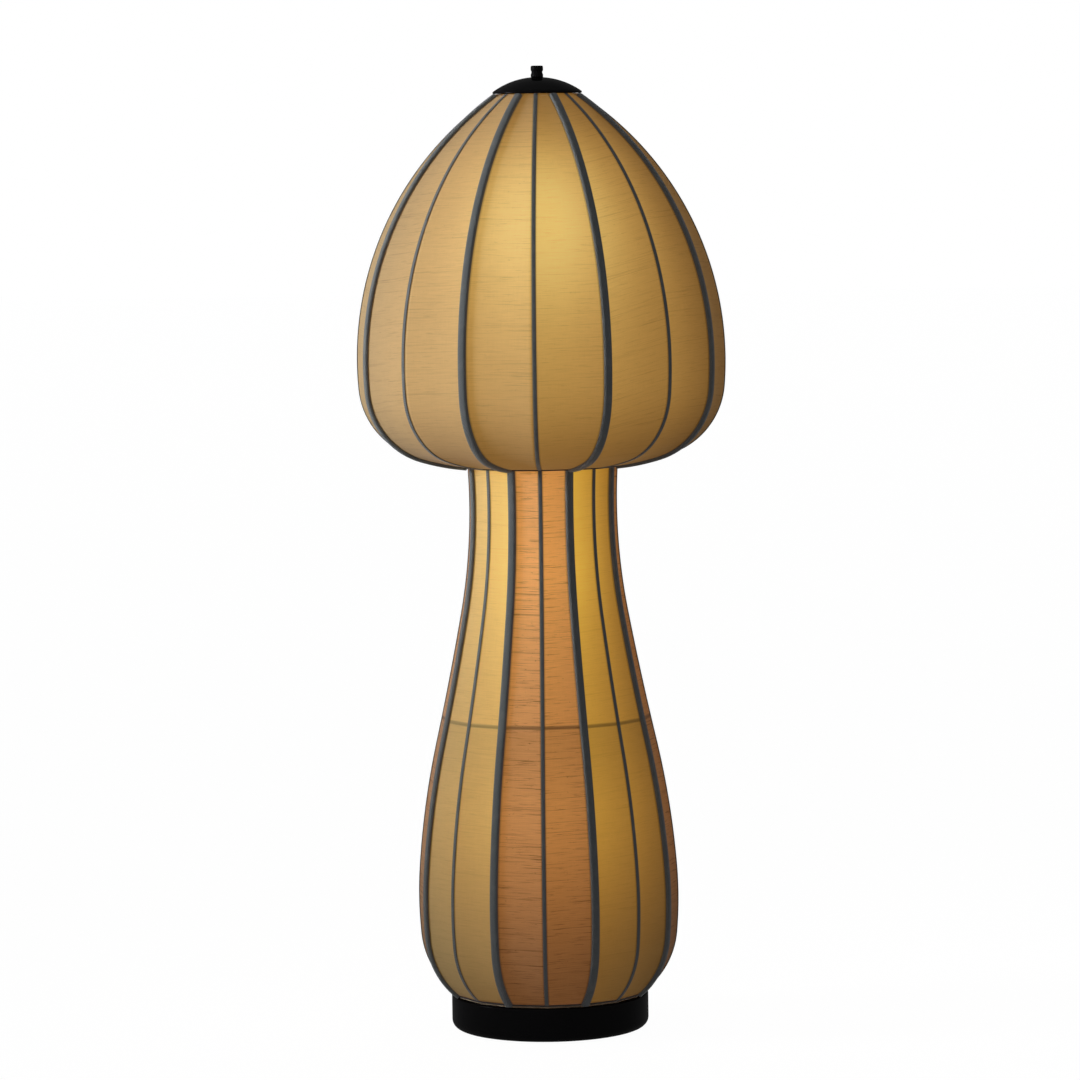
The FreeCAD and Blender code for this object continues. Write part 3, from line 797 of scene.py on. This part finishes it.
# %% Lamps and holders
def at_each_lamp(profile_at, drop, sides):
    """The same turned piece at all three lamps, some way below the globe's middle, as one mesh."""
    points, faces = [], []
    for z in LAMPS_Z:
        more_points, more_faces = spun(profile_at(z - drop), sides, (LAMP_X, LAMP_Y))
        faces += [[v + len(points) for v in face] for face in more_faces]
        points += more_points
    return points, faces


lamp_globes = new_piece("lamp_globes", *at_each_lamp(globe_profile, 0.0, 32), glass, 60)
rises = [min(abs(v.co.z - (z - GLOBE_RISE)) for z in LAMPS_Z) for v in lamp_globes.data.vertices]
lamp_globes.data.attributes.new("rise", "FLOAT", "POINT").data.foreach_set("value", rises)
screw_caps = new_piece("lamp_screw_caps", *at_each_lamp(screw_cap_profile, GLOBE_RISE, 32), zinc, 30)
lamp_cups = new_piece("lamp_cups", *at_each_lamp(cup_profile, GLOBE_RISE + HOLDER_FLOOR, 40), plastic, 30)
hang(lamp_globes, "root", "opal_glass", "globe_lamps")
hang(screw_caps, "root", "zinc_steel")
hang(lamp_cups, "root", "holder_plastic", "lamp_holders")

# %% [markdown]
# ## What stays from the CAD model
# The pole, arms, rings, fittings, weight, pads and inlet have their right shape already, so they only need
# their finish: powder coat, zinc plate, cream lacquer on the rings, raw cast iron and rubber.


# %% Finishes on the CAD pieces
def rough_cast(name, colour, rough, grain):
    f = Finish(name)
    pits = f.noise(f.place, grain, 4.0, 0.6)
    stain = f.noise(f.place, 18.0, 3.0)
    own = f.mix(stain.ramp(0.35, 0.75), colour, tinted(colour, 0.65))
    return f.done(Base_Color=own, Roughness=rough + (pits - 0.5) * 0.2, Normal=f.bump(pits, 0.3, 0.0005))


kept = {
    "pole_tube": enamel("black_powder_coat", (0.02, 0.02, 0.021, 1), 0.5),
    "pole_fittings": zinc,
    "lamp_arms": zinc,
    "stem_bottom_ring": rough_cast("ring_lacquer", (0.62, 0.50, 0.34, 1), 0.45, 500.0),
    "base_weight": rough_cast("cast_iron", (0.055, 0.055, 0.058, 1), 0.7, 220.0),
    "rubber_pads": rough_cast("pad_rubber", (0.022, 0.022, 0.022, 1), 0.85, 600.0),
    "cord_gland": plastic,
}
for ring in ("stem_mid_ring", "stem_top_ring", "cap_top_ring", "cap_mouth_ring"):
    kept[ring] = kept["stem_bottom_ring"]
for node, material in kept.items():
    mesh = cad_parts[node].data
    mesh.materials.clear()
    mesh.materials.append(material)
print("finishes on", len(kept), "CAD nodes")

# %% [markdown]
# ## Floor and background
# The photograph has a plain white ground without a horizon. A floor that is lit until it is white would throw
# its light on the lamp and wash the glow out. So floor and background are white only to the camera and in
# reflections, and for all other light the room is a dim, slightly cool grey. A fifth of what the camera sees of
# the floor is its own grey, which leaves a hint of the lamp's shadow.

# %% What is white to the camera
FLOOR_WHITE, FLOOR_SHARE, ROOM = 1.22, 0.80, 0.038      # the floor's own white, its share, and the room's light


def seen_white(tree):
    """1 for what the camera sees, straight on or in a gloss or a glass."""
    rays = [tree.node("ShaderNodeLightPath", {}, {}, kind)
            for kind in ("Is Camera Ray", "Is Glossy Ray", "Is Transmission Ray")]
    return rays[0].maths("MINIMUM", rays[0] + rays[1] + rays[2], 1.0)


def floor_finish():
    f = Finish("pale_floor")
    grain = f.noise(f.place, 3.0, 2.0)
    f.done(Base_Color=f.mix(grain, (0.42, 0.42, 0.42, 1), (0.46, 0.46, 0.46, 1)), Roughness=0.9)
    white = f.node("ShaderNodeEmission", {}, {"Color": (1, 1, 1, 1), "Strength": FLOOR_WHITE})
    mixed = f.node("ShaderNodeMixShader", {}, {0: seen_white(f) * FLOOR_SHARE, 1: Wire(f, f.shader.outputs[0]),
                                               2: white})
    f.links.new(mixed.socket, f.nodes["Material Output"].inputs["Surface"])
    return f.material


# %% Floor and background
FLOOR_HALF = 30
corners = [(x * FLOOR_HALF, y * FLOOR_HALF, 0) for x, y in ((-1, -1), (1, -1), (1, 1), (-1, 1))]
floor_mesh = bpy.data.meshes.new("floor")
floor_mesh.from_pydata(corners, [], [(0, 1, 2, 3)])
floor_mesh.materials.append(floor_finish())
floor = bpy.data.objects.new("floor", floor_mesh)
bpy.context.scene.collection.objects.link(floor)

world = bpy.data.worlds.new("studio")
bpy.context.scene.world = world
world.use_nodes = True
sky = Tree(world.node_tree)
room = sky.nodes["Background"]
sky.fill(room, {"Color": (0.86, 0.92, 1.0, 1), "Strength": ROOM})
backdrop = sky.node("ShaderNodeBackground", {}, {"Color": (1, 1, 1, 1), "Strength": 1.0})
blend = sky.node("ShaderNodeMixShader", {}, {0: seen_white(sky), 1: Wire(sky, room.outputs[0]), 2: backdrop})
sky.links.new(blend.socket, sky.nodes["World Output"].inputs["Surface"])
print("floor", 2 * FLOOR_HALF, "m wide, room light", ROOM)

# %% [markdown]
# ## Lights
# The lamp is lit mostly by itself. A window far to the left, drawn together to a beam so that it keeps off the
# floor, models the ribs from one side. A wide weak light in front and one above keep the dark side readable and
# give the black metal what little sheen it has.


# %% Lights
def soft_light(name, place, aim, across, power, colour, spread=180):
    light = bpy.data.lights.new(name, "AREA")
    light.shape, light.size, light.energy, light.color = "DISK", across, power, colour
    light.spread = math.radians(spread)
    lamp = bpy.data.objects.new(name, light)
    lamp.location = place
    lamp.rotation_euler = (Vector(aim) - Vector(place)).to_track_quat("-Z", "Y").to_euler()
    bpy.context.scene.collection.objects.link(lamp)
    print(f"{name} light: {across} m across, {power} W")


soft_light("window", (-3.1, -0.65, 1.25), (0, 0, 0.96), 1.2, 5.6, (0.94, 0.96, 1.0), 37)
soft_light("front", (-0.6, -4.2, 2.2), (0, 0, 0.7), 2.2, 9, (0.95, 0.97, 1.0))
soft_light("top", (0.3, 0.4, 3.4), (0, 0, 0.8), 2.0, 2, (1.0, 0.97, 0.92))

# %% [markdown]
# ## Camera
# The photograph is taken from a little above the lamp's middle, from about six metres, with a long lens, so
# upright lines hardly lean. The lamp stands very slightly askew in it, so the camera is rolled by the same
# angle. The Standard view keeps the colours as they are worked out.

# %% Camera
DISTANCE, SIDE, EYE_Z, ROLL = 6.2, math.radians(2.0), 1.155, math.radians(0.83)
AIM = Vector((-0.0047, 0.0, 0.638))
camera = bpy.data.cameras.new("camera")
camera.lens, camera.sensor_width = 160.0, 36.0
eye = bpy.data.objects.new("camera", camera)
eye.location = (DISTANCE * math.sin(SIDE), -DISTANCE * math.cos(SIDE), EYE_Z)
turn = (AIM - eye.location).to_track_quat("-Z", "Y").to_matrix()
eye.rotation_euler = (turn @ Matrix.Rotation(-ROLL, 3, "Z")).to_euler()
bpy.context.scene.collection.objects.link(eye)
bpy.context.scene.camera = eye
bpy.context.scene.view_settings.view_transform = "Standard"
print(f"camera: {camera.lens:.0f} mm lens, {DISTANCE} m away")
